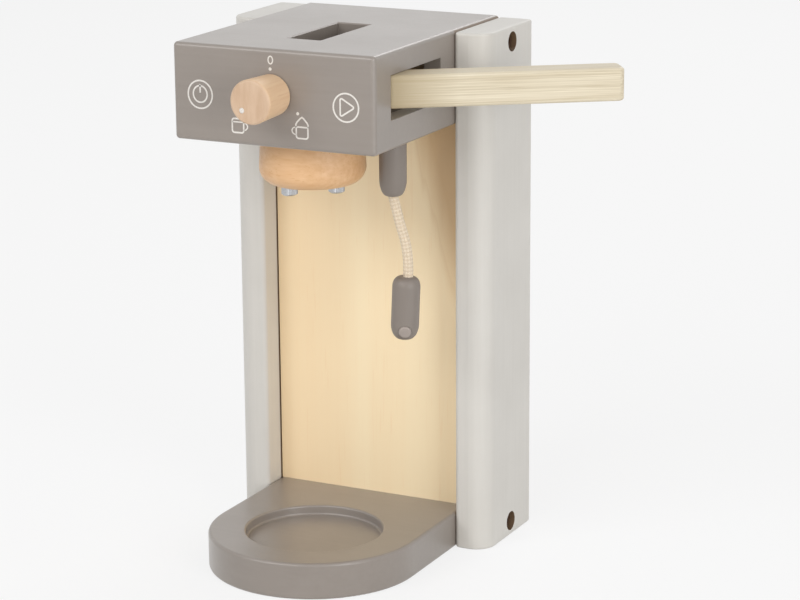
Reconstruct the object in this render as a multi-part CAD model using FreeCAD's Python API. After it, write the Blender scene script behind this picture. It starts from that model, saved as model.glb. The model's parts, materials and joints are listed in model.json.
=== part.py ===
import FreeCAD, Part
import math
import os

os.makedirs("parts", exist_ok=True)

V = FreeCAD.Vector

# Toy coffee maker for a play kitchen, in millimetres.
# X runs to the right, Y runs to the back, Z is up.
# x = 0 is the middle of the frame, y = 0 the front of the two posts, z = 0 the table.

# Frame: two posts, a base plate and a back panel
POST_GAP = 108.0
POST_THICK = 18.0
POST_DEPTH = 54.5
POST_HEIGHT = 265.0
POST_INNER_ROUND = 2.4
POST_OUTER_ROUND = 10.5
POST_BACK_ROUND = 2.0
POST_END_ROUND = 1.2

BASE_THICK = 18.5
BASE_BACK_Y = 53.0
BASE_ARC_Y = -48.5
BASE_EDGE_ROUND = 1.6
RECESS_Y = -50.3
RECESS_R = 34.4
RECESS_DEPTH = 5.0
RECESS_RIM_ROUND = 1.0
RECESS_FLOOR_ROUND = 1.2

PANEL_FRONT_Y = 13.9
PANEL_THICK = 6.0
PANEL_SHOULDER = 2.0
PANEL_EDGE_GAP = 0.6
PANEL_TONGUE = 2.8
GROOVE_DEPTH = 3.0
GROOVE_PLAY = 0.2

# Head box
HEAD_TOP = 266.2
HEAD_TALL = 47.0
HEAD_FRONT_Y = -85.0
HEAD_BACK_Y = 53.0
HEAD_WALL = 9.0
HEAD_CORNER_ROUND = 2.4
HEAD_TOP_ROUND = 2.0
HEAD_LOW_ROUND = 1.8
REAR_BLOCK_Y = 10.0
PAD_SLOT_WIDE = 18.0
PAD_SLOT_FRONT_Y = -53.3
PAD_SLOT_BACK_Y = -0.7
PAD_SLOT_EASE = 0.6
LEVER_SLOT_FRONT_Y = -68.5
LEVER_SLOT_BACK_Y = -14.7
LEVER_SLOT_LOW = 233.5
LEVER_SLOT_HIGH = 255.0

# Lever and its pivot
LEVER_LOW = 238.8
LEVER_THICK = 16.0
LEVER_WIDE = 15.5
LEVER_PIVOT_X = 28.0
LEVER_BEND_X = 53.3
LEVER_ANGLE = 35.0
LEVER_FRONT_GAP = 0.5
LEVER_ARM = 112.3
LEVER_EDGE_ROUND = 1.6
LEVER_BEND_FRONT_ROUND = 6.0
LEVER_BEND_REAR_ROUND = 14.0
LEVER_END_ROUND = 3.0
PIN_R = 4.0
PIN_CLEAR = 0.06
PIN_LOW = 222.2
PIN_HIGH = 262.2
PIN_END_EASE = 0.5
SPACER_R = 7.5
SPACER_GAP = 0.1

# Knob
KNOB_Z = 244.5
KNOB_BASE_R = 10.0
KNOB_FACE_R = 10.7
KNOB_LONG = 21.2
KNOB_GAP = 0.4
KNOB_FACE_ROUND = 1.3
KNOB_BACK_ROUND = 0.5
KNOB_DOT_X = -4.3
KNOB_DOT_DROP = 4.1
KNOB_DOT_R = 1.4
KNOB_DOT_DEEP = 0.5
SPINDLE_R = 3.0
SPINDLE_CLEAR = 0.06
SPINDLE_IN_KNOB = 14.0
SPINDLE_BACK_Y = -70.5
SPINDLE_END_EASE = 0.4
RETAINER_R = 6.5
RETAINER_THICK = 1.6
RETAINER_GAP = 0.3
COLLAR_R = 4.2
COLLAR_LONG = 4.0

# Brew disc and its two cap screws
DISC_Y = -46.0
DISC_R = 26.1
DISC_TOP_R = 25.3
DISC_LOW = 195.0
DISC_ROUND = 8.2
CAP_X = 9.05
CAP_Y = 7.3
CAP_R = 4.0
CAP_TALL = 5.7
CAP_POINT_TALL = 0.8
CAP_SHANK_R = 2.4
CAP_SHANK_TOP = 225.0
CAP_FLUTES = 24
CAP_FLUTE_DEEP = 0.22
CAP_SOCKET = 4.0
CAP_SOCKET_DEEP = 2.6

# Steam wand: stub, rope and nozzle
STUB_X = 39.6
STUB_Y = -38.2
STUB_R = 6.7
STUB_LOW = 190.4
STUB_END_FLAT = 3.1
STUB_END_TALL = 8.5
ROPE_R = 2.55
ROPE_TURN = 26.5
ROPE_STEPS = [(0.0, 0.0), (2.2, -10.6), (7.5, -28.4), (7.0, -40.4)]
NOZZLE_SHIFT = -0.7
NOZZLE_R = 6.9
NOZZLE_LONG = 31.4
NOZZLE_TOP_FLAT = 3.3
NOZZLE_TOP_TALL = 5.0
NOZZLE_END_FLAT = 2.2
NOZZLE_END_TALL = 7.5
PLUG_R = 3.2
PLUG_BORE_R = 3.35
PLUG_LONG = 7.0
PLUG_RIM_ROUND = 1.0
PLUG_UP = 6.5
PLUG_DOWN_ANGLE = 16.0

# Screws through the posts
SCREW_Y = 29.7
SCREW_HIGH_Z = 257.4
SCREW_LOW_Z = 7.7
COUNTERBORE_R = 5.0
COUNTERBORE_DEEP = 5.0
SCREW_HEAD_R = 4.4
SCREW_HEAD_TALL = 2.6
SCREW_HEAD_ROUND = 0.5
SCREW_SHANK_R = 2.4
SCREW_HOLE_R = 2.5
SCREW_LONG = 38.0
SCREW_TIP_LONG = 3.0
SCREW_TIP_R = 0.4
SCREW_SOCKET = 4.0
SCREW_SOCKET_DEEP = 1.8

# Play round pins and screws that are pressed or glued in
SNUG = 0.02
HOLE_PLAY = 0.05
SPARE = 0.1

HALF = POST_GAP / 2.0
HEAD_LOW = HEAD_TOP - HEAD_TALL
FLOOR_Z = HEAD_LOW + HEAD_WALL
CEILING_Z = HEAD_TOP - HEAD_WALL
FRONT_IN_Y = HEAD_FRONT_Y + HEAD_WALL
TONGUE_Y = PANEL_FRONT_Y + PANEL_SHOULDER
PANEL_BACK_Y = PANEL_FRONT_Y + PANEL_THICK
LEVER_TONGUE_Y = LEVER_SLOT_FRONT_Y + LEVER_FRONT_GAP
LEVER_PIVOT_Y = LEVER_TONGUE_Y + LEVER_WIDE / 2.0


def box(x0, x1, y0, y1, z0, z1):
    return Part.makeBox(x1 - x0, y1 - y0, z1 - z0, V(x0, y0, z0))


def rod(radius, start, direction, length):
    return Part.makeCylinder(radius, length, start, direction)


def polygon(points, z):
    ring = [V(x, y, z) for x, y in points]
    ring.append(ring[0])
    return Part.Face(Part.makePolygon(ring))


def hexagon_prism(across, start, direction, length):
    # a hexagonal pocket for a key, standing on start and running along direction
    ring = []
    for i in range(6):
        a = math.radians(60 * i)
        r = across / math.sqrt(3.0)
        ring.append(V(r * math.cos(a), r * math.sin(a), 0))
    ring.append(ring[0])
    prism = Part.Face(Part.makePolygon(ring)).extrude(V(0, 0, length))
    prism.Placement = FreeCAD.Placement(start, FreeCAD.Rotation(V(0, 0, 1), direction))
    return prism


def edges_at_z(shape, z):
    found = []
    for edge in shape.Edges:
        b = edge.BoundBox
        if abs(b.ZMin - z) < 1e-4 and abs(b.ZMax - z) < 1e-4:
            found.append(edge)
    return found


def upright_edge(shape, x, y):
    for edge in shape.Edges:
        b = edge.BoundBox
        if b.ZLength > 1 and abs(b.XMin - x) < 1e-4 and abs(b.XMax - x) < 1e-4:
            if abs(b.YMin - y) < 1e-4 and abs(b.YMax - y) < 1e-4:
                return edge
    return None


def mirrored(shape):
    return shape.mirror(V(0, 0, 0), V(1, 0, 0))


def write(node, shape):
    shape.exportStep("parts/" + node + ".step")
    print(node, "volume", round(shape.Volume / 1000.0, 2), "cm3", shape.isValid())


def right_post():
    x0 = HALF
    x1 = HALF + POST_THICK
    post = box(x0, x1, 0, POST_DEPTH, 0, POST_HEIGHT)
    post = post.makeFillet(POST_INNER_ROUND, [upright_edge(post, x0, 0)])
    post = post.makeFillet(POST_OUTER_ROUND, [upright_edge(post, x1, 0)])
    backs = [upright_edge(post, x0, POST_DEPTH), upright_edge(post, x1, POST_DEPTH)]
    post = post.makeFillet(POST_BACK_ROUND, backs)
    ends = edges_at_z(post, 0) + edges_at_z(post, POST_HEIGHT)
    post = post.makeFillet(POST_END_ROUND, ends)
    # blind groove that holds the tongue of the back panel
    groove = box(x0 - 1, x0 + GROOVE_DEPTH, TONGUE_Y - GROOVE_PLAY, PANEL_BACK_Y + GROOVE_PLAY,
                 BASE_THICK, HEAD_LOW)
    post = post.cut(groove)
    for z in (SCREW_HIGH_Z, SCREW_LOW_Z):
        seat = rod(COUNTERBORE_R, V(x1 + 1, SCREW_Y, z), V(-1, 0, 0), COUNTERBORE_DEEP + 1)
        hole = rod(SCREW_HOLE_R, V(x1 + 1, SCREW_Y, z), V(-1, 0, 0), POST_THICK + 2)
        post = post.cut(seat.fuse(hole))
    return post


def right_screws():
    # one screw into the head and one into the base, sunk in counterbores
    made = []
    seat_x = HALF + POST_THICK - COUNTERBORE_DEEP
    straight = SCREW_LONG - SCREW_TIP_LONG
    for z in (SCREW_HIGH_Z, SCREW_LOW_Z):
        shank = rod(SCREW_SHANK_R, V(seat_x, SCREW_Y, z), V(-1, 0, 0), straight)
        tip_start = V(seat_x - straight, SCREW_Y, z)
        tip = Part.makeCone(SCREW_SHANK_R, SCREW_TIP_R, SCREW_TIP_LONG, tip_start, V(-1, 0, 0))
        head = rod(SCREW_HEAD_R, V(seat_x, SCREW_Y, z), V(1, 0, 0), SCREW_HEAD_TALL)
        rim = [e for e in head.Edges if abs(e.BoundBox.XMin - seat_x - SCREW_HEAD_TALL) < 1e-4]
        head = head.makeFillet(SCREW_HEAD_ROUND, rim)
        socket_start = V(seat_x + SCREW_HEAD_TALL - SCREW_SOCKET_DEEP, SCREW_Y, z)
        socket = hexagon_prism(SCREW_SOCKET, socket_start, V(1, 0, 0), SCREW_SOCKET_DEEP + 1)
        made.append(shank.fuse([tip, head]).cut(socket).removeSplitter())
    return Part.makeCompound(made)


def screw_pilots(z):
    # pilot holes from both sides, a little longer and wider than the screws
    reach = HALF + POST_THICK - COUNTERBORE_DEEP - SCREW_LONG - SPARE
    right = rod(SCREW_HOLE_R, V(HALF + 1, SCREW_Y, z), V(-1, 0, 0), HALF + 1 - reach)
    return [right, mirrored(right)]


def base_plate():
    sides = box(-HALF, HALF, BASE_ARC_Y, BASE_BACK_Y, 0, BASE_THICK)
    nose = rod(HALF, V(0, BASE_ARC_Y, 0), V(0, 0, 1), BASE_THICK)
    plate = sides.fuse(nose).removeSplitter()
    rims = []
    for edge in edges_at_z(plate, BASE_THICK) + edges_at_z(plate, 0):
        if edge.BoundBox.YMin < BASE_BACK_Y - 1:
            rims.append(edge)
    plate = plate.makeFillet(BASE_EDGE_ROUND, rims)
    recess = rod(RECESS_R, V(0, RECESS_Y, BASE_THICK - RECESS_DEPTH), V(0, 0, 1), RECESS_DEPTH + 1)
    recess = recess.makeFillet(RECESS_FLOOR_ROUND, edges_at_z(recess, BASE_THICK - RECESS_DEPTH))
    plate = plate.cut(recess)
    rim = []
    for edge in edges_at_z(plate, BASE_THICK):
        b = edge.BoundBox
        if abs(b.XLength - 2 * RECESS_R) < 0.1 and abs(b.YLength - 2 * RECESS_R) < 0.1:
            rim.append(edge)
    plate = plate.makeFillet(RECESS_RIM_ROUND, rim)
    for pilot in screw_pilots(SCREW_LOW_Z):
        plate = plate.cut(pilot)
    return plate


def back_panel():
    # a board whose thinner tongues slide in the posts, which leaves a narrow gap beside its face
    face = HALF - PANEL_EDGE_GAP
    reach = HALF + PANEL_TONGUE
    board = box(-face, face, PANEL_FRONT_Y, TONGUE_Y, BASE_THICK, HEAD_LOW)
    return board.fuse(box(-reach, reach, TONGUE_Y, PANEL_BACK_Y, BASE_THICK, HEAD_LOW))


def head_outer():
    # the rounded outside of the head, from which every head panel is taken
    outer = box(-HALF, HALF, HEAD_FRONT_Y, HEAD_BACK_Y, HEAD_LOW, HEAD_TOP)
    fronts = [upright_edge(outer, -HALF, HEAD_FRONT_Y), upright_edge(outer, HALF, HEAD_FRONT_Y)]
    outer = outer.makeFillet(HEAD_CORNER_ROUND, fronts)
    outer = outer.makeFillet(HEAD_TOP_ROUND, edges_at_z(outer, HEAD_TOP))
    outer = outer.makeFillet(HEAD_LOW_ROUND, edges_at_z(outer, HEAD_LOW))
    return outer


def head_front_panel(outer):
    panel = outer.common(box(-60, 60, HEAD_FRONT_Y - 1, FRONT_IN_Y, HEAD_LOW - 1, HEAD_TOP + 1))
    hole_start = V(0, HEAD_FRONT_Y - 1, KNOB_Z)
    return panel.cut(rod(SPINDLE_R + SPINDLE_CLEAR, hole_start, V(0, 1, 0), HEAD_WALL + 2))


def softened_slot(slot, z, rounding):
    # the slot tool with its mouth widened by a small chamfer, so the cut rim is eased
    b = slot.BoundBox
    grow = rounding + 0.01
    low = polygon([(b.XMin, b.YMin), (b.XMax, b.YMin), (b.XMax, b.YMax), (b.XMin, b.YMax)], z - rounding)
    wide = polygon([(b.XMin - grow, b.YMin - grow), (b.XMax + grow, b.YMin - grow),
                    (b.XMax + grow, b.YMax + grow), (b.XMin - grow, b.YMax + grow)], z + 0.01)
    mouth = Part.makeLoft([low.OuterWire, wide.OuterWire], True, True)
    return slot.fuse(mouth)


def head_top_panel(outer):
    panel = outer.common(box(-60, 60, FRONT_IN_Y, HEAD_BACK_Y + 1, CEILING_Z, HEAD_TOP + 1))
    half = PAD_SLOT_WIDE / 2.0
    slot = box(-half, half, PAD_SLOT_FRONT_Y, PAD_SLOT_BACK_Y, CEILING_Z - 1, HEAD_TOP + 1)
    panel = panel.cut(softened_slot(slot, HEAD_TOP, PAD_SLOT_EASE))
    # the frame screws run along the joint between this panel and the boards below it
    for pilot in screw_pilots(SCREW_HIGH_Z):
        panel = panel.cut(pilot)
    socket_start = V(LEVER_PIVOT_X, LEVER_PIVOT_Y, CEILING_Z - 1)
    socket_long = PIN_HIGH + SPARE - socket_start.z
    return panel.cut(rod(PIN_R + SNUG, socket_start, V(0, 0, 1), socket_long))


def head_bottom_panel(outer):
    panel = outer.common(box(-60, 60, FRONT_IN_Y, HEAD_BACK_Y + 1, HEAD_LOW - 1, FLOOR_Z))
    socket_start = V(LEVER_PIVOT_X, LEVER_PIVOT_Y, PIN_LOW - SPARE)
    panel = panel.cut(rod(PIN_R + SNUG, socket_start, V(0, 0, 1), HEAD_WALL))
    for side in (-1, 1):
        start = V(side * CAP_X, DISC_Y + side * CAP_Y, HEAD_LOW - 1)
        hole_long = CAP_SHANK_TOP + SPARE - start.z
        panel = panel.cut(rod(CAP_SHANK_R + HOLE_PLAY, start, V(0, 0, 1), hole_long))
    return panel


def head_side_panel(outer, side):
    x0, x1 = (HALF - HEAD_WALL, HALF + 1) if side > 0 else (-HALF - 1, -HALF + HEAD_WALL)
    panel = outer.common(box(x0, x1, FRONT_IN_Y, HEAD_BACK_Y + 1, FLOOR_Z, CEILING_Z))
    for pilot in screw_pilots(SCREW_HIGH_Z):
        panel = panel.cut(pilot)
    if side > 0:
        slot = box(HALF - HEAD_WALL - 1, HALF + 1, LEVER_SLOT_FRONT_Y, LEVER_SLOT_BACK_Y,
                   LEVER_SLOT_LOW, LEVER_SLOT_HIGH)
        panel = panel.cut(slot)
    return panel


def head_rear_block():
    reach = HALF - HEAD_WALL
    block = box(-reach, reach, REAR_BLOCK_Y, HEAD_BACK_Y, FLOOR_Z, CEILING_Z)
    for pilot in screw_pilots(SCREW_HIGH_Z):
        block = block.cut(pilot)
    return block


def lever():
    # a flat bent bar: a short tongue with a round end in the head, then the long arm
    a = math.radians(LEVER_ANGLE)
    along = V(math.cos(a), math.sin(a), 0)
    across = V(-math.sin(a), math.cos(a), 0)
    front_bend = V(LEVER_BEND_X, LEVER_TONGUE_Y, LEVER_LOW)
    front_end = front_bend + along * LEVER_ARM
    rear_end = front_end + across * LEVER_WIDE
    rear_y = LEVER_TONGUE_Y + LEVER_WIDE
    rear_line = front_bend + across * LEVER_WIDE
    rear_x = rear_line.x + (rear_y - rear_line.y) / math.tan(a)
    ring = [(LEVER_PIVOT_X, LEVER_TONGUE_Y), (front_bend.x, front_bend.y), (front_end.x, front_end.y),
            (rear_end.x, rear_end.y), (rear_x, rear_y), (LEVER_PIVOT_X, rear_y)]
    bar = polygon(ring, LEVER_LOW).extrude(V(0, 0, LEVER_THICK))
    bar = bar.makeFillet(LEVER_BEND_FRONT_ROUND, [upright_edge(bar, front_bend.x, front_bend.y)])
    bar = bar.makeFillet(LEVER_BEND_REAR_ROUND, [upright_edge(bar, rear_x, rear_y)])
    corners = [upright_edge(bar, front_end.x, front_end.y), upright_edge(bar, rear_end.x, rear_end.y)]
    bar = bar.makeFillet(LEVER_END_ROUND, corners)
    hub = rod(LEVER_WIDE / 2.0, V(LEVER_PIVOT_X, LEVER_PIVOT_Y, LEVER_LOW), V(0, 0, 1), LEVER_THICK)
    bar = bar.fuse(hub).removeSplitter()
    rims = edges_at_z(bar, LEVER_LOW) + edges_at_z(bar, LEVER_LOW + LEVER_THICK)
    bar = bar.makeFillet(LEVER_EDGE_ROUND, rims)
    hole = rod(PIN_R + PIN_CLEAR, V(LEVER_PIVOT_X, LEVER_PIVOT_Y, LEVER_LOW - 1), V(0, 0, 1), LEVER_THICK + 2)
    return bar.cut(hole)


def lever_pin():
    pin = rod(PIN_R, V(LEVER_PIVOT_X, LEVER_PIVOT_Y, PIN_LOW), V(0, 0, 1), PIN_HIGH - PIN_LOW)
    return pin.makeChamfer(PIN_END_EASE, edges_at_z(pin, PIN_LOW) + edges_at_z(pin, PIN_HIGH))


def lever_spacer():
    tall = LEVER_LOW - SPACER_GAP - FLOOR_Z
    start = V(LEVER_PIVOT_X, LEVER_PIVOT_Y, FLOOR_Z)
    ring = rod(SPACER_R, start, V(0, 0, 1), tall)
    return ring.cut(rod(PIN_R + HOLE_PLAY, start - V(0, 0, 1), V(0, 0, 1), tall + 2))


def knob():
    back = HEAD_FRONT_Y - KNOB_GAP
    body = Part.makeCone(KNOB_BASE_R, KNOB_FACE_R, KNOB_LONG, V(0, back, KNOB_Z), V(0, -1, 0))
    face = [e for e in body.Edges if abs(e.BoundBox.YMax - back + KNOB_LONG) < 1e-3]
    body = body.makeFillet(KNOB_FACE_ROUND, face)
    rear = [e for e in body.Edges if abs(e.BoundBox.YMin - back) < 1e-3 and e.BoundBox.XLength > 5]
    body = body.makeFillet(KNOB_BACK_ROUND, rear)
    hole = rod(SPINDLE_R + SNUG, V(0, back + 1, KNOB_Z), V(0, -1, 0), SPINDLE_IN_KNOB + 1 + SPARE)
    # shallow drilled dot that points at the chosen setting
    dot_start = V(KNOB_DOT_X, back - KNOB_LONG - 1, KNOB_Z - KNOB_DOT_DROP)
    dot = rod(KNOB_DOT_R, dot_start, V(0, 1, 0), 1 + KNOB_DOT_DEEP)
    return body.cut(hole).cut(dot)


def knob_spindle():
    front = HEAD_FRONT_Y - KNOB_GAP - SPINDLE_IN_KNOB
    spindle = rod(SPINDLE_R, V(0, front, KNOB_Z), V(0, 1, 0), SPINDLE_BACK_Y - front)
    tips = [e for e in spindle.Edges if e.BoundBox.YLength < 1e-3 and e.BoundBox.XLength > 1]
    return spindle.makeChamfer(SPINDLE_END_EASE, tips)


def knob_retainer():
    # push-on cap behind the front panel: a rim washer with a raised collar
    front = FRONT_IN_Y + RETAINER_GAP
    start = V(0, front, KNOB_Z)
    flange = rod(RETAINER_R, start, V(0, 1, 0), RETAINER_THICK)
    collar = rod(COLLAR_R, start, V(0, 1, 0), COLLAR_LONG)
    bore = rod(SPINDLE_R + SNUG, start - V(0, 1, 0), V(0, 1, 0), COLLAR_LONG + 2)
    return flange.fuse(collar).cut(bore).removeSplitter()


def brew_disc():
    # turned disc, slightly wider low down, with a large rounding below
    a = V(0, 0, HEAD_LOW)
    b = V(DISC_TOP_R, 0, HEAD_LOW)
    c = V(DISC_R, 0, DISC_LOW + DISC_ROUND)
    d = V(DISC_R - DISC_ROUND, 0, DISC_LOW)
    e = V(0, 0, DISC_LOW)
    s = DISC_ROUND * (1 - math.sqrt(0.5))
    mid = V(DISC_R - s, 0, DISC_LOW + s)
    lines = [Part.makeLine(a, b), Part.makeLine(b, c), Part.Arc(c, mid, d).toShape(),
             Part.makeLine(d, e), Part.makeLine(e, a)]
    disc = Part.Face(Part.Wire(lines)).revolve(V(0, 0, 0), V(0, 0, 1), 360)
    disc.translate(V(0, DISC_Y, 0))
    for side in (-1, 1):
        start = V(side * CAP_X, DISC_Y + side * CAP_Y, DISC_LOW - 1)
        disc = disc.cut(rod(CAP_SHANK_R + HOLE_PLAY, start, V(0, 0, 1), HEAD_LOW - DISC_LOW + 2))
    return disc


def cap_screw(x, y):
    ring = []
    for i in range(2 * CAP_FLUTES):
        r = CAP_R if i % 2 == 0 else CAP_R - CAP_FLUTE_DEEP
        a = math.pi * i / CAP_FLUTES
        ring.append((x + r * math.cos(a), y + r * math.sin(a)))
    low = DISC_LOW - CAP_TALL
    knurl = polygon(ring, low).extrude(V(0, 0, CAP_TALL))
    point = Part.makeCone(CAP_R - CAP_POINT_TALL, CAP_R + SPARE, CAP_POINT_TALL, V(x, y, low), V(0, 0, 1))
    barrel_start = V(x, y, low + CAP_POINT_TALL)
    barrel = rod(CAP_R + SPARE, barrel_start, V(0, 0, 1), CAP_TALL - CAP_POINT_TALL)
    head = knurl.common(point.fuse(barrel))
    socket = hexagon_prism(CAP_SOCKET, V(x, y, low - 1), V(0, 0, 1), CAP_SOCKET_DEEP + 1)
    shank_start = V(x, y, DISC_LOW - 1)
    shank = rod(CAP_SHANK_R, shank_start, V(0, 0, 1), CAP_SHANK_TOP - shank_start.z)
    return head.fuse(shank).cut(socket)


def quarter_ellipse(flat, radius, end, rim):
    # from the edge of a flat end at height end to the full radius at height rim
    return Part.ArcOfEllipse(Part.Ellipse(V(flat, end, 0), V(radius, rim, 0), V(flat, rim, 0)),
                             0, math.pi / 2).toShape()


def turned(edges):
    # a turned piece from its half outline, drawn with the radius along X and the height along Y
    face = Part.Face(Part.Wire(Part.__sortEdges__(edges)))
    body = face.revolve(V(0, 0, 0), V(0, 1, 0), 360)
    body.rotate(V(0, 0, 0), V(1, 0, 0), 90)
    return body


def steam_stub():
    tall = HEAD_LOW - STUB_LOW
    outline = [
        Part.makeLine(V(0, 0, 0), V(STUB_END_FLAT, 0, 0)),
        quarter_ellipse(STUB_END_FLAT, STUB_R, 0, STUB_END_TALL),
        Part.makeLine(V(STUB_R, STUB_END_TALL, 0), V(STUB_R, tall, 0)),
        Part.makeLine(V(STUB_R, tall, 0), V(0, tall, 0)),
        Part.makeLine(V(0, tall, 0), V(0, 0, 0)),
    ]
    stub = turned(outline)
    stub.translate(V(STUB_X, STUB_Y, STUB_LOW))
    return stub


def rope_out():
    # the rope swings out to the right as seen by a viewer standing a little to the right
    a = math.radians(ROPE_TURN)
    return V(math.cos(a), math.sin(a), 0)


def rope_points():
    start = V(STUB_X, STUB_Y, STUB_LOW)
    return [start + rope_out() * u + V(0, 0, z) for u, z in ROPE_STEPS]


def rope():
    # straight runs joined by tangent arcs, trimmed flush with the flat end of the stub
    points = rope_points()
    first = V(points[1] - points[0]).normalize()
    root = points[0] - first
    pieces = []
    here = root
    for i in range(1, len(points) - 1):
        before = points[i] - points[i - 1]
        after = points[i + 1] - points[i]
        back = 0.45 * min(before.Length, after.Length)
        half_turn = before.getAngle(after) / 2.0
        radius = back / math.tan(half_turn)
        u = V(before).normalize()
        w = V(after).normalize()
        start = points[i] - u * back
        end = points[i] + w * back
        inward = V(w - u).normalize()
        rise = radius / math.cos(half_turn) - radius
        middle = points[i] + inward * rise
        pieces.append(Part.makeLine(here, start))
        pieces.append(Part.Arc(start, middle, end).toShape())
        print("rope bend", i, "radius", round(radius, 1))
        here = end
    pieces.append(Part.makeLine(here, points[-1]))
    spine = Part.Wire(pieces)
    ring = Part.Wire([Part.makeCircle(ROPE_R, root, first)])
    tube = spine.makePipeShell([ring], True, False)
    tube = tube.cut(box(0, HALF, BASE_ARC_Y, 0, STUB_LOW, STUB_LOW + 10))
    length = spine.Length - 1
    print("rope volume", round(tube.Volume, 1), "section times length",
          round(math.pi * ROPE_R ** 2 * length, 1), "length", round(length, 1))
    return tube


def nozzle_axis():
    # square to the end of the rope, which enters a little beside the middle
    points = rope_points()
    down = V(points[-1] - points[-2]).normalize()
    beside = V(rope_out() - down * rope_out().dot(down)).normalize()
    return points[-1] + beside * NOZZLE_SHIFT, down


def plug_line():
    # where the round end plug looks out: to the front right and a little down
    top, down = nozzle_axis()
    a = math.radians(ROPE_TURN)
    e = math.radians(PLUG_DOWN_ANGLE)
    look = V(math.sin(a) * math.cos(e), -math.cos(a) * math.cos(e), -math.sin(e))
    return top + down * (NOZZLE_LONG - PLUG_UP), look


def nozzle():
    top, down = nozzle_axis()
    low = NOZZLE_LONG - NOZZLE_END_TALL
    body = turned([
        Part.makeLine(V(0, 0, 0), V(NOZZLE_TOP_FLAT, 0, 0)),
        quarter_ellipse(NOZZLE_TOP_FLAT, NOZZLE_R, 0, NOZZLE_TOP_TALL),
        Part.makeLine(V(NOZZLE_R, NOZZLE_TOP_TALL, 0), V(NOZZLE_R, low, 0)),
        quarter_ellipse(NOZZLE_END_FLAT, NOZZLE_R, NOZZLE_LONG, low),
        Part.makeLine(V(NOZZLE_END_FLAT, NOZZLE_LONG, 0), V(0, NOZZLE_LONG, 0)),
        Part.makeLine(V(0, NOZZLE_LONG, 0), V(0, 0, 0)),
    ])
    body.Placement = FreeCAD.Placement(top, FreeCAD.Rotation(V(0, 0, 1), down)).multiply(body.Placement)
    start, look = plug_line()
    return body.cut(rod(PLUG_BORE_R, start, look, 2 * NOZZLE_R))


def nozzle_plug():
    # round plug in a cross bore, with an eased rim just proud of the nozzle's skin
    start, look = plug_line()
    plug = rod(PLUG_R, start, look, PLUG_LONG)
    tip = start + look * PLUG_LONG
    rim = []
    for edge in plug.Edges:
        if edge.Length > 10 and (edge.BoundBox.Center - tip).Length < 0.5:
            rim.append(edge)
    return plug.makeFillet(PLUG_RIM_ROUND, rim)


outer = head_outer()
post = right_post()
screws = right_screws()

write("right_post", post)
write("left_post", mirrored(post))
write("frame_screws_right", screws)
write("frame_screws_left", mirrored(screws))
write("base_plate", base_plate())
write("back_panel", back_panel())
write("head_front_panel", head_front_panel(outer))
write("head_top_panel", head_top_panel(outer))
write("head_bottom_panel", head_bottom_panel(outer))
write("head_right_panel", head_side_panel(outer, 1))
write("head_left_panel", head_side_panel(outer, -1))
write("head_rear_block", head_rear_block())
write("lever", lever())
write("lever_pin", lever_pin())
write("lever_spacer", lever_spacer())
write("control_knob", knob())
write("knob_spindle", knob_spindle())
write("knob_retainer", knob_retainer())
write("brew_disc", brew_disc())
cap_screws = [cap_screw(-CAP_X, DISC_Y - CAP_Y), cap_screw(CAP_X, DISC_Y + CAP_Y)]
write("brew_disc_screws", Part.makeCompound(cap_screws))
write("steam_stub", steam_stub())
write("steam_rope", rope())
write("steam_nozzle", nozzle())
write("nozzle_plug", nozzle_plug())
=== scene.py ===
import bpy
import bmesh
import json
import math
from mathutils import Matrix, Vector


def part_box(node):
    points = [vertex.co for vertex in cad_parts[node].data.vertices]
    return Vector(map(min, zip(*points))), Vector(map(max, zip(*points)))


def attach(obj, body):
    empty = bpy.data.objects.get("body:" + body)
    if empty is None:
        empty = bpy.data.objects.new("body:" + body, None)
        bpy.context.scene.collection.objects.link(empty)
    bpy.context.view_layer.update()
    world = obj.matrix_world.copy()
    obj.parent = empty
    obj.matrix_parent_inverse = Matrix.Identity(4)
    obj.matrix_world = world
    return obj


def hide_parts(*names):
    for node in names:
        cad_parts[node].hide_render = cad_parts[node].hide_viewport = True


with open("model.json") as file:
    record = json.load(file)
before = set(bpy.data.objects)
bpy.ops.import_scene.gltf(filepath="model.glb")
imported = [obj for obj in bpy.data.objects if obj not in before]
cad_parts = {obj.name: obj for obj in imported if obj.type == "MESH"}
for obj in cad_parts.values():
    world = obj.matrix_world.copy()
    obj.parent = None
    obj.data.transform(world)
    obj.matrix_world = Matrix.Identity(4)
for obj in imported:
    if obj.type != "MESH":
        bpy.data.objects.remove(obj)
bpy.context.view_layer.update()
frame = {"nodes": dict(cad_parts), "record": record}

# Camera, placed as the photograph was taken
CAMERA_PLACE = Vector((0.61237, -1.17858, 0.47493))
CAMERA_AZIMUTH = 26.536
CAMERA_ELEVATION = 14.783
CAMERA_ROLL = -0.420
CAMERA_LENS = 121.76
CAMERA_SENSOR = 36.0
CAMERA_FAR = 50

# Rope between the stub and the nozzle: its route, as the solid has it, in metres
ROPE_ROOT = Vector((0.0396, -0.0382, 0.1904))
ROPE_TURN = 26.5
ROPE_STEPS = [(0.0, 0.0), (0.0022, -0.0106), (0.0075, -0.0284), (0.0070, -0.0404)]
ROPE_ORDER = 3
ROPE_RESOLUTION = 24
ROPE_DIAMETER = 0.0051
ROPE_TUCK = 0.0006

# Braid of the rope: flat strands that wind both ways round a core
STRANDS_EACH_WAY = 8
STRAND_WIDE = 0.00145
STRAND_THICK = 0.00085
STRAND_LIFT = 0.00026
STRAND_SIDES = 8
BRAID_PITCH = 0.0150
BRAID_STEPS = 150
BRAID_RADIUS = ROPE_DIAMETER / 2 - STRAND_THICK / 2 - STRAND_LIFT
CORE_RADIUS = 0.00180

# Head front and knob, read from the frame
HEAD_FRONT_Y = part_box("head_front_panel")[0][1]
KNOB_LOW, KNOB_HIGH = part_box("control_knob")
KNOB_FACE_Y = KNOB_LOW[1]
KNOB_Z = (KNOB_LOW[2] + KNOB_HIGH[2]) / 2

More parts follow.
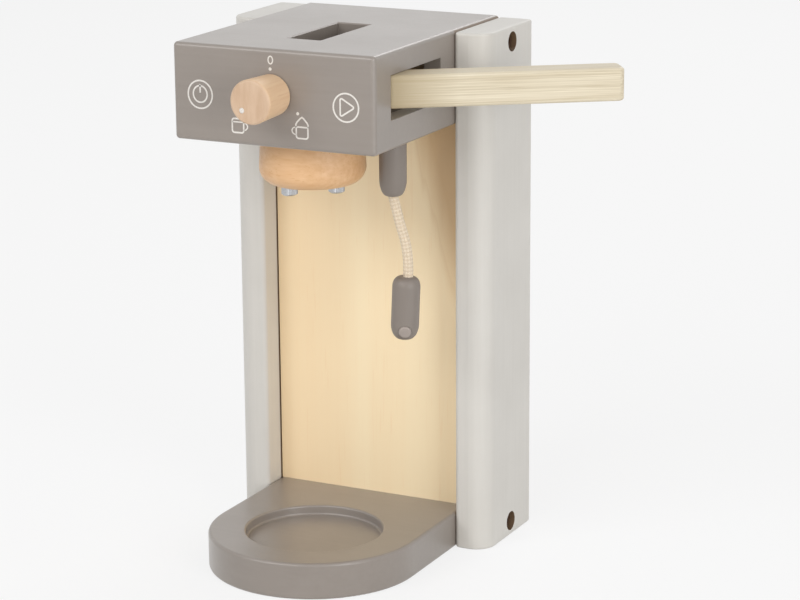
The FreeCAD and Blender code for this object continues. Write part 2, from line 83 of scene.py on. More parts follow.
# Print on the head front: widths of its lines, thickness of the ink, and gap behind it
PRINT_LINE = 0.00078
PRINT_FINE = 0.00062
PRINT_THICK = 0.00004
PRINT_LIFT = 0.00001

# A line's corner reaches out by at most half its width divided by this
LEAST_MITRE = 0.5

# Printed symbols, in metres as (x, z)
BUTTON_RADII = (0.0066, 0.0067)
POWER_CENTRE = (-0.0391, 0.2418)
POWER_INNER_CENTRE = (-0.0391, 0.2420)
POWER_INNER_RADII = (0.0038, 0.0040)
POWER_BAR_Z = (0.2468, 0.2426)
PLAY_CENTRE = (0.0390, 0.2414)
PLAY_TRIANGLE = [(0.0360, 0.2460), (0.0360, 0.2368), (0.0436, 0.2417)]
PLAY_ROUNDING = 0.0007
ZERO_CENTRE = (-0.0006, 0.2610)
ZERO_RADII = (0.0012, 0.0018)
MUG_ROUNDING = 0.0011
CUP_ROUNDING = 0.0012
DOTS = [("print_dot_zero", (-0.0008, 0.2567)), ("print_dot_foam", (0.0135, 0.2366)),
        ("print_dot_mug", (-0.0151, 0.2366))]
DOT_RADIUS = 0.0008

# Points in the curved lines of the symbols
RING_SIDES = 48
SMALL_RING_SIDES = 28
DOT_SIDES = 24
HANDLE_STEPS = 12
CUP_STEPS = 6
ROUND_STEPS = 5

# Paint in the round hole in the knob's face, as (x, z) from the knob's middle
KNOB_DOT = (-0.0043, -0.0041)
KNOB_DOT_RADIUS = 0.00138
KNOB_DOT_BACK = 0.0005
KNOB_DOT_THICK = 0.0004
KNOB_DOT_SHOULDER = 0.7
KNOB_DOT_TOP = 0.85

# Bare wood in the counterbores, and painted shade in the same dark bare-wood colour in the seams
# beside the posts, with small allowances for each
POST_INNER_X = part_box("base_plate")[1][0]
PANEL_FRONT_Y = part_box("back_panel")[0][1]
POST_FACE_DEEP = 0.0002
SEAM_WIDE = 0.0006
SEAM_START_Y = 0.0012
COUNTERBORE_PLAY = 0.00062
BARE_WOOD_AND_SEAM_SHADE = (0.19, 0.125, 0.075, 1.0)

# Painted light on the floor of the lever's slot: a paler grey at its level, with small allowances
# round it
SLOT_FLOOR_Z = 0.2335
SLOT_FLOOR_DEEP = 0.0090
SLOT_FLOOR_PLAY = 0.0002
SLOT_FLOOR_LEVEL = 0.0001
SLOT_FRONT_Y = -0.0686
SLOT_FLOOR_PAINTED_LIGHT = (0.80, 0.74, 0.67, 1.0)

# Darker zone in the panel, partly the wood's own figure and partly painted shadow of the head: its
# edge as (x, z) low down and at the top, and its waviness
FIGURE_LOW = (0.055, 0.105)
FIGURE_HIGH = (0.023, 0.215)
FIGURE_WAVE = 0.004
FIGURE_WAVE_SCALE = 60
FIGURE_FADE = (-0.004, 0.010)
FIGURE_SHARE = 0.75
FIGURE_LINE_WIDE = 0.003
FIGURE_LINE_SHARE = 0.35
FIGURE_AND_SHADOW_TONE = (0.70, 0.46, 0.23, 1.0)

# Painted shade: the lever is a little darker near the head, which shades it
LEVER_GRAIN_TURN = -35
LEVER_ROOT_X = (0.056, 0.080)
LEVER_ROOT_SHARE = 0.9
LEVER_ROOT_PAINTED_SHADE = (0.43, 0.34, 0.20, 1.0)

# End grain in the knob's face: how far behind the face it ends and begins, and its pattern
KNOB_END_DEEP = (0.0010, 0.0002)
KNOB_END_SCALE = 260

# Two tones of each surface, the paler one first
TONES = {
    "post_paint": ((0.675, 0.65, 0.605), (0.64, 0.615, 0.57)),
    "grey_paint": ((0.295, 0.257, 0.227), (0.272, 0.236, 0.207)),
    "wand_paint": ((0.245, 0.210, 0.183), (0.225, 0.192, 0.166)),
    "plug_paint": ((0.37, 0.315, 0.28), (0.34, 0.285, 0.25)),
    "panel_wood": ((0.98, 0.82, 0.55), (0.93, 0.71, 0.44)),
    "lever_wood": ((0.84, 0.76, 0.60), (0.50, 0.41, 0.26)),
    "beech": ((0.85, 0.56, 0.32), (0.70, 0.40, 0.19)),
    "knob_beech": ((0.90, 0.67, 0.44), (0.76, 0.50, 0.30)),
    "knob_end": ((0.68, 0.49, 0.34), (0.60, 0.41, 0.27)),
    "plain_wood": ((0.72, 0.56, 0.36), (0.55, 0.38, 0.22)),
    "rope": ((0.88, 0.77, 0.62), (0.76, 0.63, 0.47)),
    "rope_painted_shade": ((0.77, 0.64, 0.48), (0.67, 0.54, 0.38)),
    "rope_core_painted_shade": ((0.62, 0.49, 0.35), (0.52, 0.40, 0.27)),
    "print_ink": ((0.84, 0.80, 0.75), (0.72, 0.68, 0.63)),
}

# Metals: colour, roughness and scale of the blotches
METALS = {
    "steel": ((0.62, 0.62, 0.63), 0.35, 900),
    "zinc": ((0.56, 0.57, 0.59), 0.30, 1400),
    "screw_brown": ((0.20, 0.12, 0.08), 0.45, 1200),
}
METAL_SHADE = 0.8
METAL_GLOSS_SPREAD = (-0.07, 0.1)
METAL_RELIEF = 0.00003

# Parts of a noise's range that are spread over two tones or two roughnesses
WIDE_SPAN = (0.30, 0.70)
MIDDLE_SPAN = (0.35, 0.65)
PAINT_SPAN = (0.36, 0.64)

# Paint: noise scales, shares of the noises, gloss, and relief in metres
CLOUD_SCALE = 28
CLOUD_SHARE = 0.6
CLOUD_GLOSS_SHARE = 0.5
PAINT_STREAK_SCALE = 420
PAINT_STREAK_RELIEF = 0.00012
PEEL_SCALE = 1500
PEEL_RELIEF = 0.00004
PAINT_GLOSS_SPREAD = 0.05
PAINT_IOR = 1.5
COAT_ROUGHNESS = 0.34

# Lacquered wood: when a noise counts as a fleck, gloss, and relief in metres
FLECK_SPAN = (0.66, 0.74)
WOOD_ROUGHNESS = (0.36, 0.50)
WOOD_IOR = 1.48
FIBRE_RELIEF = 0.00008
FLECK_RELIEF = 0.00005

# Cotton and ink
FUZZ_SCALE = 5200
FUZZ_RELIEF = 0.00012
INK_SCALE = 2500
INK_ROUGHNESS = (0.38, 0.5)

# Soft boxes round the object: name, degrees to the right of the front, degrees up, watts
LAMPS = [("left_box", -30, 32, 11.8), ("front_box", 0, 32, 9.5), ("right_box", 60, 8, 17.2),
         ("right_high_box", 60, 32, 4.0), ("back_box", 182, 40, 10.0)]
LAMP_SIZE = 1.0
LAMP_AWAY = 2.4
LAMP_AIM = Vector((0, 0, 0.15))

# White studio and its pale floor
SKY = 0.45
FLOOR_GLOW = 0.78
FLOOR_REACH = 6.0
FLOOR_TONE = (0.86, 0.86, 0.86, 1)


def outward_from(azimuth, elevation):
    # the direction at these angles to the right of the front and up, in degrees
    a = math.radians(azimuth)
    e = math.radians(elevation)
    return Vector((math.sin(a) * math.cos(e), -math.cos(a) * math.cos(e), math.sin(e)))


def place_camera():
    data = bpy.data.cameras.new("camera")
    data.sensor_fit = "HORIZONTAL"
    data.sensor_width = CAMERA_SENSOR
    data.lens = CAMERA_LENS
    data.clip_end = CAMERA_FAR
    a = math.radians(CAMERA_AZIMUTH)
    roll = math.radians(CAMERA_ROLL)
    back = outward_from(CAMERA_AZIMUTH, CAMERA_ELEVATION)
    right = Vector((math.cos(a), math.sin(a), 0))
    up = back.cross(right)
    rolled_right = right * math.cos(roll) + up * math.sin(roll)
    rolled_up = up * math.cos(roll) - right * math.sin(roll)
    camera = bpy.data.objects.new("camera", data)
    turn = Matrix((rolled_right, rolled_up, back)).transposed().to_4x4()
    camera.matrix_world = Matrix.Translation(CAMERA_PLACE) @ turn
    bpy.context.collection.objects.link(camera)
    bpy.context.scene.camera = camera


def rope_route():
    a = math.radians(ROPE_TURN)
    out = Vector((math.cos(a), math.sin(a), 0))
    return [ROPE_ROOT + out * u + Vector((0, 0, drop)) for u, drop in ROPE_STEPS]


def smooth_line(points, name):
    # the points along a NURBS spline that has the route's points as its controls
    data = bpy.data.curves.new(name, "CURVE")
    data.dimensions = "3D"
    data.resolution_u = ROPE_RESOLUTION
    spline = data.splines.new("NURBS")
    spline.points.add(len(points) - 1)
    for point, place in zip(spline.points, points):
        point.co = (*place, 1)
    spline.order_u = ROPE_ORDER
    spline.use_endpoint_u = True
    guide = bpy.data.objects.new(name, data)
    bpy.context.collection.objects.link(guide)
    mesh = bpy.data.meshes.new_from_object(guide)
    line = [v.co.copy() for v in mesh.vertices]
    bpy.data.objects.remove(guide)
    bpy.data.curves.remove(data)
    bpy.data.meshes.remove(mesh)
    return line


def evenly_spaced(line, count):
    # the same line as count points at equal distances along it, and its length
    lengths = [0.0]
    for a, b in zip(line, line[1:]):
        lengths.append(lengths[-1] + (b - a).length)
    spaced = []
    k = 0
    for i in range(count):
        want = lengths[-1] * i / (count - 1)
        while k < len(line) - 2 and lengths[k + 1] < want:
            k += 1
        share = (want - lengths[k]) / max(lengths[k + 1] - lengths[k], 1e-9)
        spaced.append(line[k].lerp(line[k + 1], share))
    return spaced, lengths[-1]


def frames_along(line):
    # each point with two directions square to the line, turned as little as possible
    frames = []
    normal = None
    for i, point in enumerate(line):
        before = line[max(i - 1, 0)]
        after = line[min(i + 1, len(line) - 1)]
        tangent = (after - before).normalized()
        if normal is None:
            normal = tangent.orthogonal().normalized()
        normal = (normal - tangent * normal.dot(tangent)).normalized()
        frames.append((point, normal, tangent.cross(normal)))
    return frames


def tube_rings(build, rings):
    # joins rings of points into a closed tube
    made = [[build.verts.new(p) for p in ring] for ring in rings]
    sides = len(made[0])
    for low, high in zip(made, made[1:]):
        for i in range(sides):
            j = (i + 1) % sides
            build.faces.new((low[i], low[j], high[j], high[i]))
    build.faces.new(reversed(made[0]))
    build.faces.new(made[-1])


def object_from(build, name, smooth=True):
    bmesh.ops.recalc_face_normals(build, faces=build.faces)
    mesh = bpy.data.meshes.new(name)
    build.to_mesh(mesh)
    build.free()
    for face in mesh.polygons:
        face.use_smooth = smooth
    piece = bpy.data.objects.new(name, mesh)
    bpy.context.collection.objects.link(piece)
    return piece


def strand_rings(frames, step, way, place):
    # one flat strand, which winds round the line and weaves in and out
    centres = []
    for i, (point, normal, side) in enumerate(frames):
        s = i * step
        angle = way * 2 * math.pi * s / BRAID_PITCH + 2 * math.pi * place / STRANDS_EACH_WAY
        weave = math.cos(2 * math.pi * STRANDS_EACH_WAY * s / BRAID_PITCH)
        radius = BRAID_RADIUS + way * STRAND_LIFT * weave
        outward = normal * math.cos(angle) + side * math.sin(angle)
        centres.append((point + outward * radius, outward))
    rings = []
    for i, (centre, outward) in enumerate(centres):
        ahead = centres[min(i + 1, len(centres) - 1)][0] - centres[max(i - 1, 0)][0]
        across = outward.cross(ahead).normalized()
        ring = []
        for j in range(STRAND_SIDES):
            t = 2 * math.pi * j / STRAND_SIDES
            wide = across * math.cos(t) * STRAND_WIDE / 2
            ring.append(centre + wide + outward * math.sin(t) * STRAND_THICK / 2)
        rings.append(ring)
    return rings


def core_rings(frames):
    # the round core, with twice as many sides as a strand
    rings = []
    for point, normal, side in frames:
        ring = []
        for j in range(2 * STRAND_SIDES):
            t = math.pi * j / STRAND_SIDES
            ring.append(point + (normal * math.cos(t) + side * math.sin(t)) * CORE_RADIUS)
        rings.append(ring)
    return rings


def braided_rope():
    path, length = evenly_spaced(smooth_line(rope_route(), "rope_guide"), BRAID_STEPS)
    first = (path[1] - path[0]).normalized()
    last = (path[-1] - path[-2]).normalized()
    frames = frames_along([path[0] - first * ROPE_TUCK] + path + [path[-1] + last * ROPE_TUCK])
    step = length / (BRAID_STEPS - 1)
    build = bmesh.new()
    ends = []
    for way in (1, -1):
        for place in range(STRANDS_EACH_WAY):
            tube_rings(build, strand_rings(frames, step, way, place))
        ends.append(len(build.faces))
    tube_rings(build, core_rings(frames))
    rope = object_from(build, "rope_braid")
    # the strands that wind the other way are painted a little darker, and the core darker still, as
    # painted shade that makes the weave and the gaps between strands show
    for i, face in enumerate(rope.data.polygons):
        face.material_index = sum(i >= end for end in ends)
    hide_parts("steam_rope")
    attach(rope, "machine")
    return rope


class Surface:
    # a material being made, with short calls for its nodes

    def __init__(self, name):
        self.material = bpy.data.materials.new(name)
        self.material.use_nodes = True
        self.tree = self.material.node_tree
        self.shader = self.tree.nodes["Principled BSDF"]

    def node(self, kind, inputs=None, **settings):
        made = self.tree.nodes.new(kind)
        for key, value in settings.items():
            setattr(made, key, value)
        for key, value in (inputs or {}).items():
            self.feed(made.inputs[key], value)
        return made

    def feed(self, socket, value):
        if isinstance(value, bpy.types.NodeSocket):
            self.tree.links.new(value, socket)
        else:
            socket.default_value = value

    def set(self, **inputs):
        for key, value in inputs.items():
            self.feed(self.shader.inputs[key.replace("_", " ")], value)

    def cover(self, share, tone):
        # lays a tone over the base colour, by a share that varies from place to place
        base = self.shader.inputs["Base Color"].links[0].from_socket
        self.set(Base_Color=self.mix(share, base, tone))

    def place(self, turn=(0, 0, 0), stretch=(1, 1, 1)):
        # object coordinates in metres, turned first and then scaled
        where = self.node("ShaderNodeTexCoord").outputs["Object"]
        turned = self.node("ShaderNodeMapping", {"Vector": where, "Rotation": turn})
        scaled = self.node("ShaderNodeMapping", {"Vector": turned.outputs[0], "Scale": stretch})
        return scaled.outputs[0]

    def parts(self):
        # X, Y and Z of the object coordinates in metres
        where = self.node("ShaderNodeTexCoord").outputs["Object"]
        return self.node("ShaderNodeSeparateXYZ", {0: where}).outputs

    def noise(self, where, scale, detail=4.0, roughness=0.55, distortion=0.0):
        made = self.node("ShaderNodeTexNoise", {"Vector": where, "Scale": scale, "Detail": detail,
                                                "Roughness": roughness, "Distortion": distortion})
        return made.outputs[0]

    def span(self, value, low, high, to_low=0.0, to_high=1.0):
        made = self.node("ShaderNodeMapRange", {"Value": value, "From Min": low, "From Max": high,
                                                "To Min": to_low, "To Max": to_high})
        return made.outputs[0]

    def math(self, operation, a, b=0.0, c=0.0):
        made = self.node("ShaderNodeMath", {0: a, 1: b, 2: c}, operation=operation)
        return made.outputs[0]

    def blend(self, a, b, share):
        # share of a and the rest of b
        return self.math("ADD", self.math("MULTIPLY", a, share), self.math("MULTIPLY", b, 1.0 - share))

    def mix(self, share, a, b):
        made = self.node("ShaderNodeMix", {0: share, 6: a, 7: b}, data_type="RGBA")
        return made.outputs[2]

    def bump(self, height, distance, strength, under=None):
        inputs = {"Height": height, "Distance": distance, "Strength": strength}
        if under is not None:
            inputs["Normal"] = under
        return self.node("ShaderNodeBump", inputs).outputs[0]


def tones(name):
    return [(*tone, 1.0) for tone in TONES[name]]


def near_axis(surface, y, z, radius):
    # 1 inside a cylinder along X through y and z
    parts = surface.parts()
    away_y = surface.math("SUBTRACT", parts["Y"], y)
    away_z = surface.math("SUBTRACT", parts["Z"], z)
    square = surface.math("ADD", surface.math("MULTIPLY", away_y, away_y),
                          surface.math("MULTIPLY", away_z, away_z))
    return surface.math("LESS_THAN", square, radius * radius)


def paint(name, roughness, grain_stretch, coat):
    # satin paint over sanded wood: faint clouds of tone, orange peel and a hint of the grain below
    s = Surface(name)
    plain = s.place()
    clouds = s.noise(plain, CLOUD_SCALE, detail=3)
    streaks = s.noise(s.place(stretch=grain_stretch), PAINT_STREAK_SCALE, detail=5)
    tone = s.blend(clouds, streaks, CLOUD_SHARE)
    peel = s.noise(plain, PEEL_SCALE, detail=2)
    shine = s.blend(clouds, peel, CLOUD_GLOSS_SHARE)
    gloss = (roughness - PAINT_GLOSS_SPREAD, roughness + PAINT_GLOSS_SPREAD)
    s.set(Base_Color=s.mix(s.span(tone, *PAINT_SPAN), *tones(name)),
          Roughness=s.span(shine, *WIDE_SPAN, *gloss),
          IOR=PAINT_IOR, Coat_Weight=coat, Coat_Roughness=COAT_ROUGHNESS)
    grain_bump = s.bump(streaks, PAINT_STREAK_RELIEF, strength=0.25)
    s.set(Normal=s.bump(peel, PEEL_RELIEF, strength=0.5, under=grain_bump))
    return s


def wood(name, turn=(0, 0, 0), stretch=(1, 1, 0.04), fibre=900, streak=60, fleck=0.5,
         fleck_scale=1500, streak_share=0.45):
    # clear-lacquered wood with streaks, fine fibres and short dark flecks along the grain
    s = Surface(name)
    along = s.place(turn, stretch)
    streaks = s.noise(along, streak, detail=3, distortion=0.6)
    fibres = s.noise(along, fibre, detail=4, roughness=0.6)
    flecks = s.span(s.noise(along, fleck_scale, detail=1), *FLECK_SPAN)
    tone = s.span(s.blend(streaks, fibres, streak_share), *WIDE_SPAN)
    marked = s.math("ADD", tone, s.math("MULTIPLY", flecks, fleck))
    s.set(Base_Color=s.mix(marked, *tones(name)),
          Roughness=s.span(fibres, *WIDE_SPAN, *WOOD_ROUGHNESS), IOR=WOOD_IOR)
    fine = s.bump(fibres, FIBRE_RELIEF, strength=0.3)
    s.set(Normal=s.bump(flecks, FLECK_RELIEF, strength=0.4, under=fine))
    return s


def metal(name):
    base, roughness, blotch_scale = METALS[name]
    s = Surface(name)
    blotch = s.noise(s.place(), blotch_scale, detail=4)
    shade = (*[c * METAL_SHADE for c in base], 1.0)
    gloss = [roughness + spread for spread in METAL_GLOSS_SPREAD]
    s.set(Base_Color=s.mix(s.span(blotch, *MIDDLE_SPAN), (*base, 1.0), shade), Metallic=1.0,
          Roughness=s.span(blotch, *WIDE_SPAN, *gloss),
          Normal=s.bump(blotch, METAL_RELIEF, strength=0.5))
    return s


def cotton(name):
    s = Surface(name)
    fuzz = s.noise(s.place(), FUZZ_SCALE, detail=4)
    s.set(Base_Color=s.mix(s.span(fuzz, *WIDE_SPAN), *tones(name)),
          Roughness=0.85, Sheen_Weight=0.3, Sheen_Roughness=0.5,
          Normal=s.bump(fuzz, FUZZ_RELIEF, strength=0.6))
    return s


def print_ink():
    s = Surface("print_ink")
    grain = s.noise(s.place(), INK_SCALE, detail=3)
    s.set(Base_Color=s.mix(s.span(grain, *WIDE_SPAN), *tones("print_ink")),
          Roughness=s.span(grain, *WIDE_SPAN, *INK_ROUGHNESS))
    return s


def post_paint():
    s = paint("post_paint", roughness=0.42, grain_stretch=(1, 1, 0.03), coat=0.1)
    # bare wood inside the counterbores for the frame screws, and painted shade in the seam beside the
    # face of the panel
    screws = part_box("frame_screws_right")
    middle_y = (screws[0][1] + screws[1][1]) / 2
    head_radius = (screws[1][1] - screws[0][1]) / 2
    for z in (screws[0][2] + head_radius, screws[1][2] - head_radius):
        s.cover(near_axis(s, middle_y, z, head_radius + COUNTERBORE_PLAY), BARE_WOOD_AND_SEAM_SHADE)
    # painted shade: the post's inner face, from just in front of the panel's face backwards, is
    # coloured dark where the narrow seam lies in shade
    parts = s.parts()
    inner = s.math("LESS_THAN", s.math("ABSOLUTE", parts["X"]), POST_INNER_X + POST_FACE_DEEP)
    behind = s.math("GREATER_THAN", parts["Y"], PANEL_FRONT_Y - SEAM_WIDE)
    s.cover(s.math("MULTIPLY", inner, behind), BARE_WOOD_AND_SEAM_SHADE)
    return s


def grey_paint():
    s = paint("grey_paint", roughness=0.32, grain_stretch=(0.03, 1, 1), coat=0.5)
    # painted shade in the seams beside the posts: the boards' sides there, from just behind their
    # front, are coloured dark like bare wood
    parts = s.parts()
    outer = s.math("GREATER_THAN", s.math("ABSOLUTE", parts["X"]), POST_INNER_X - SEAM_WIDE)
    behind = s.math("GREATER_THAN", parts["Y"], SEAM_START_Y)
    s.cover(s.math("MULTIPLY", outer, behind), BARE_WOOD_AND_SEAM_SHADE)
    # painted light: a paler grey on the floor of the lever's slot, where the ledge is lit
    half = SLOT_FLOOR_DEEP / 2
    across = s.math("COMPARE", parts["X"], POST_INNER_X - half, half - SLOT_FLOOR_PLAY)
    level = s.math("COMPARE", parts["Z"], SLOT_FLOOR_Z, SLOT_FLOOR_LEVEL)
    back_of_front = s.math("GREATER_THAN", parts["Y"], SLOT_FRONT_Y)
    s.cover(s.math("MULTIPLY", s.math("MULTIPLY", across, level), back_of_front), SLOT_FLOOR_PAINTED_LIGHT)
    return s


def wand_paint():
    # the stub and the nozzle are a little darker than the boards
    return paint("wand_paint", roughness=0.48, grain_stretch=(1, 1, 0.05), coat=0.1)


def plug_paint():
    # the plug's grey is a little lighter than the nozzle's
    return paint("plug_paint", roughness=0.40, grain_stretch=(1, 1, 1), coat=0.3)


def panel_wood():
    # upright grain, with a broad darker zone that narrows down the right side, partly the wood's own
    # figure and partly painted shadow of the head
    s = wood("panel_wood", stretch=(1, 1, 0.035), fibre=330, streak=17, fleck=0.30, fleck_scale=900,
             streak_share=0.85)
    parts = s.parts()
    edge = s.span(parts["Z"], FIGURE_LOW[1], FIGURE_HIGH[1], FIGURE_LOW[0], FIGURE_HIGH[0])
    waves = s.noise(s.place(stretch=(1, 1, 0.1)), FIGURE_WAVE_SCALE, detail=3)
    wobble = s.span(waves, *WIDE_SPAN, -FIGURE_WAVE, FIGURE_WAVE)
    inside = s.math("ADD", s.math("SUBTRACT", parts["X"], edge), wobble)
    # painted shadow of the head, together with the wood's darker figure, to the right of the edge
    figure_and_shadow = s.span(inside, *FIGURE_FADE, 0.0, FIGURE_SHARE)
    line = s.span(s.math("ABSOLUTE", inside), 0.0, FIGURE_LINE_WIDE, FIGURE_LINE_SHARE, 0.0)
    s.cover(s.math("MAXIMUM", figure_and_shadow, line), FIGURE_AND_SHADOW_TONE)
    return s


def lever_wood():
    # the grain follows the long arm of the lever
    s = wood("lever_wood", turn=(0, 0, math.radians(LEVER_GRAIN_TURN)), stretch=(0.010, 1, 1),
             fibre=2000, streak=420, fleck=0.3, fleck_scale=2800, streak_share=0.35)
    # painted shade of the head over the lever's root
    painted_root_shade = s.span(s.parts()["X"], LEVER_ROOT_X[1], LEVER_ROOT_X[0], 0.0, LEVER_ROOT_SHARE)
    s.cover(painted_root_shade, LEVER_ROOT_PAINTED_SHADE)
    return s


def beech():
    return wood("beech", stretch=(0.05, 1, 1), fibre=500, streak=70, fleck=0.6, fleck_scale=1400)


def knob_beech():
    # the grain runs out of the knob's face, which is darker and pinker end grain
    s = wood("knob_beech", stretch=(1, 0.05, 1), fibre=500, streak=70, fleck=0.5, fleck_scale=1400)
    rings = s.noise(s.place(stretch=(1, 1, 0.25)), KNOB_END_SCALE, detail=4)
    end = s.mix(s.span(rings, *MIDDLE_SPAN), *tones("knob_end"))
    deep, shallow = KNOB_END_DEEP
    s.cover(s.span(s.parts()["Y"], KNOB_FACE_Y + deep, KNOB_FACE_Y + shallow), end)
    return s


def dress_nodes():
    made = {
        "post_paint": post_paint(),
        "grey_paint": grey_paint(),
        "panel_wood": panel_wood(),
        "lever_wood": lever_wood(),
        "beech": beech(),
        "plain_wood": wood("plain_wood"),
        "rope": cotton("rope"),
    }
    for name in METALS:
        made[name] = metal(name)
    slots = {part["node"]: part["material_slot"] for part in frame["record"]["subparts"]}
    wand = wand_paint()
    own = {"control_knob": knob_beech(), "steam_stub": wand, "steam_nozzle": wand,
           "nozzle_plug": plug_paint()}
    for node, piece in frame["nodes"].items():
        surface = own.get(node, made[slots[node]])
        piece.data.materials.clear()
        piece.data.materials.append(surface.material)
    return made


def ribbon(build, points, width, closed):
    # a flat line of even width on the head front, mitred at its corners
    count = len(points)
    pairs = []
    for i in range(count):
        here = Vector(points[i])
        before = Vector(points[i - 1]) if closed or i > 0 else None
        after = Vector(points[(i + 1) % count]) if closed or i < count - 1 else None
        into = (here - before).normalized() if before is not None else None
        onward = (after - here).normalized() if after is not None else None
        along = into + onward if into is not None and onward is not None else into or onward
        along = along.normalized()
        across = Vector((-along.y, along.x))
        reach = width / 2
        if into is not None and onward is not None:
            reach /= max(across.dot(Vector((-onward.y, onward.x))), LEAST_MITRE)
        pairs.append((here + across * reach, here - across * reach))
    back = HEAD_FRONT_Y - PRINT_LIFT
    front = back - PRINT_THICK
    rows = []
    for left, right in pairs:
        rows.append([build.verts.new((p.x, y, p.y)) for y in (front, back) for p in (left, right)])
    steps = list(zip(rows, rows[1:])) + ([(rows[-1], rows[0])] if closed else [])
    for a, b in steps:
        build.faces.new((a[0], a[1], b[1], b[0]))
        build.faces.new((a[3], a[2], b[2], b[3]))
        build.faces.new((a[1], a[3], b[3], b[1]))
        build.faces.new((a[2], a[0], b[0], b[2]))
    if not closed:
        for end in (rows[0], rows[-1]):
            build.faces.new((end[0], end[1], end[3], end[2]))


def arc(centre, radius_x, radius_z, start, end, count):
    places = []
    for i in range(count):
        a = math.radians(start + (end - start) * i / (count - 1))
        places.append((centre[0] + radius_x * math.cos(a), centre[1] + radius_z * math.sin(a)))
    return places


def ring_points(centre, radius_x, radius_z, count=RING_SIDES):
    return arc(centre, radius_x, radius_z, 0, 360 - 360 / count, count)


def rounded(corners, radius):
    # a closed outline of the corners, each turned into a small arc
    outline = []
    count = len(corners)
    for i in range(count):
        here = Vector(corners[i])
        into = (Vector(corners[i - 1]) - here).normalized()
        onward = (Vector(corners[(i + 1) % count]) - here).normalized()
        half = into.angle(onward) / 2
        cut = radius / math.tan(half)
        middle = here + (into + onward).normalized() * radius / math.sin(half)
        start = here + into * cut - middle
        turn = (here + onward * cut - middle).angle_signed(start)
        for k in range(ROUND_STEPS + 1):
            a = turn * k / ROUND_STEPS
            place = Vector((start.x * math.cos(a) - start.y * math.sin(a),
                            start.x * math.sin(a) + start.y * math.cos(a)))
            outline.append(tuple(middle + place))
    return outline


def finish_print(build, name):
    piece = object_from(build, name, smooth=False)
    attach(piece, "machine")
    return piece


def power_symbol():
    build = bmesh.new()
    ribbon(build, ring_points(POWER_CENTRE, *BUTTON_RADII), PRINT_LINE, True)
    ribbon(build, ring_points(POWER_INNER_CENTRE, *POWER_INNER_RADII), PRINT_LINE, True)
    ribbon(build, [(POWER_CENTRE[0], z) for z in POWER_BAR_Z], PRINT_LINE, False)
    return finish_print(build, "print_power")


def play_symbol():
    build = bmesh.new()
    ribbon(build, ring_points(PLAY_CENTRE, *BUTTON_RADII), PRINT_LINE, True)
    ribbon(build, rounded(PLAY_TRIANGLE, PLAY_ROUNDING), PRINT_LINE, True)
    return finish_print(build, "print_play")


def zero_symbol():
    build = bmesh.new()
    ribbon(build, ring_points(ZERO_CENTRE, *ZERO_RADII, SMALL_RING_SIDES), PRINT_FINE, True)
    return finish_print(build, "print_zero")


def mug_symbol():
    build = bmesh.new()
    left, right, low, rim, top = -0.0219, -0.0157, 0.2250, 0.2301, 0.2317
    handle_z, handle_out, handle_half = 0.2281, 0.0021, 0.0018
    corners = [(left, low), (right, low), (right, top), (left, top)]
    ribbon(build, rounded(corners, MUG_ROUNDING), PRINT_LINE, True)
    ribbon(build, [(left, rim), (right, rim)], PRINT_FINE, False)
    handle = arc((right, handle_z), handle_out, handle_half, 90, -90, HANDLE_STEPS)
    ribbon(build, handle, PRINT_FINE, False)
    return finish_print(build, "print_mug")


def foam_cup_symbol():
    build = bmesh.new()
    left, right, low, top, peak = 0.0126, 0.0188, 0.2249, 0.2303, 0.2350
    handle_z, handle_out, handle_half = 0.2284, 0.0023, 0.0018
    bulge = 0.0002
    middle = (left + right) / 2
    r = CUP_ROUNDING
    cup = [(right, top)] + arc((right - r, low + r), r, r, 0, -90, CUP_STEPS)
    cup += arc((left + r, low + r), r, r, -90, -180, CUP_STEPS) + [(left, top)]
    ribbon(build, cup, PRINT_LINE, True)
    # the foam bulges a little over the rim and runs up to a peak, the same on both sides
    side = [(left, top), (left - bulge, top + 0.0011), (left + 0.0004, top + 0.0022),
            (middle - 0.0009, peak - 0.0006), (middle, peak)]
    other = [(2 * middle - x, z) for x, z in reversed(side[:-1])]
    ribbon(build, side + other, PRINT_LINE, False)
    handle = arc((left, handle_z), handle_out, handle_half, 90, 270, HANDLE_STEPS)
    ribbon(build, handle, PRINT_FINE, False)
    return finish_print(build, "print_foam_cup")


def disc_rings(centre, steps):
    # rings round the centre, one for each radius and y
    return [[Vector((x, y, z)) for x, z in ring_points(centre, radius, radius, DOT_SIDES)]
            for radius, y in steps]


def dot(name, centre):
    build = bmesh.new()
    back = HEAD_FRONT_Y - PRINT_LIFT
    tube_rings(build, disc_rings(centre, ((DOT_RADIUS, back), (DOT_RADIUS, back - PRINT_THICK))))
    return finish_print(build, name)


def knob_dot():
    # white paint that fills most of the shallow hole in the knob's face
    build = bmesh.new()
    centre = (KNOB_DOT[0], KNOB_Z + KNOB_DOT[1])
    floor = KNOB_FACE_Y + KNOB_DOT_BACK
    tube_rings(build, disc_rings(centre, (
        (KNOB_DOT_RADIUS, floor),
        (KNOB_DOT_RADIUS, floor - KNOB_DOT_THICK * KNOB_DOT_SHOULDER),
        (KNOB_DOT_RADIUS * KNOB_DOT_TOP, floor - KNOB_DOT_THICK))))
    piece = object_from(build, "knob_dot_paint")
    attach(piece, "knob")
    return piece


def print_symbols():
    ink = print_ink().material
    pieces = [power_symbol(), play_symbol(), zero_symbol(), mug_symbol(), foam_cup_symbol()]
    pieces += [dot(name, centre) for name, centre in DOTS] + [knob_dot()]
    for piece in pieces:
        piece.data.materials.append(ink)


def straight_rays(tree):
    # 1 for rays from the camera, a mirror or glass, so that these see a white studio
    rays = tree.nodes.new("ShaderNodeLightPath")
    total = rays.outputs["Is Camera Ray"]
    for name in ("Is Glossy Ray", "Is Transmission Ray"):
        add = tree.nodes.new("ShaderNodeMath")
        add.operation = "MAXIMUM"
        tree.links.new(total, add.inputs[0])
        tree.links.new(rays.outputs[name], add.inputs[1])
        total = add.outputs[0]
    return total


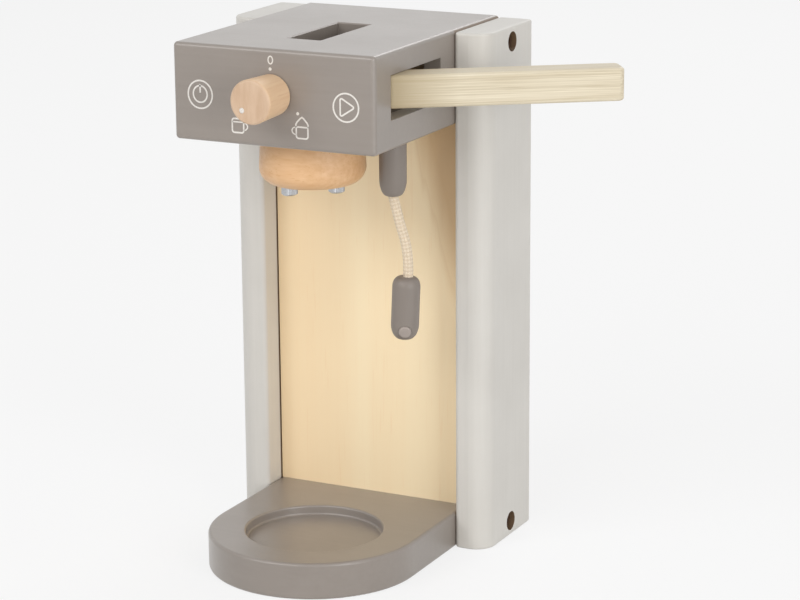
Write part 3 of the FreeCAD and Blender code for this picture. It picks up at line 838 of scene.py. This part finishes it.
def white_world():
    world = bpy.data.worlds.new("studio")
    bpy.context.scene.world = world
    world.use_nodes = True
    tree = world.node_tree
    background = tree.nodes["Background"]
    background.inputs["Color"].default_value = (1, 1, 1, 1)
    strength = tree.nodes.new("ShaderNodeMapRange")
    strength.inputs["To Min"].default_value = SKY
    strength.inputs["To Max"].default_value = 1.0
    tree.links.new(straight_rays(tree), strength.inputs["Value"])
    tree.links.new(strength.outputs[0], background.inputs["Strength"])


def soft_boxes():
    for name, azimuth, elevation, energy in LAMPS:
        data = bpy.data.lights.new(name, "AREA")
        data.shape = "SQUARE"
        data.size = LAMP_SIZE
        data.energy = energy
        away = outward_from(azimuth, elevation)
        lamp = bpy.data.objects.new(name, data)
        lamp.location = LAMP_AIM + away * LAMP_AWAY
        lamp.rotation_euler = away.to_track_quat("Z", "Y").to_euler()
        bpy.context.collection.objects.link(lamp)


def pale_floor():
    build = bmesh.new()
    square = ((-1, -1), (1, -1), (1, 1), (-1, 1))
    build.faces.new([build.verts.new((x * FLOOR_REACH, y * FLOOR_REACH, 0)) for x, y in square])
    floor = object_from(build, "floor", smooth=False)
    material = bpy.data.materials.new("floor")
    material.use_nodes = True
    tree = material.node_tree
    tree.nodes.remove(tree.nodes["Principled BSDF"])
    diffuse = tree.nodes.new("ShaderNodeBsdfDiffuse")
    diffuse.inputs["Color"].default_value = FLOOR_TONE
    glow = tree.nodes.new("ShaderNodeEmission")
    blend = tree.nodes.new("ShaderNodeMixShader")
    share = tree.nodes.new("ShaderNodeMapRange")
    share.inputs["To Max"].default_value = FLOOR_GLOW
    tree.links.new(straight_rays(tree), share.inputs["Value"])
    tree.links.new(share.outputs[0], blend.inputs[0])
    tree.links.new(diffuse.outputs[0], blend.inputs[1])
    tree.links.new(glow.outputs[0], blend.inputs[2])
    tree.links.new(blend.outputs[0], tree.nodes["Material Output"].inputs["Surface"])
    floor.data.materials.append(material)


place_camera()
rope = braided_rope()
surfaces = dress_nodes()
# the second and third materials are painted shade on the other way's strands and on the core
for cloth in (surfaces["rope"], cotton("rope_painted_shade"), cotton("rope_core_painted_shade")):
    rope.data.materials.append(cloth.material)
print_symbols()
white_world()
soft_boxes()
pale_floor()

bpy.context.scene.view_settings.view_transform = "Standard"
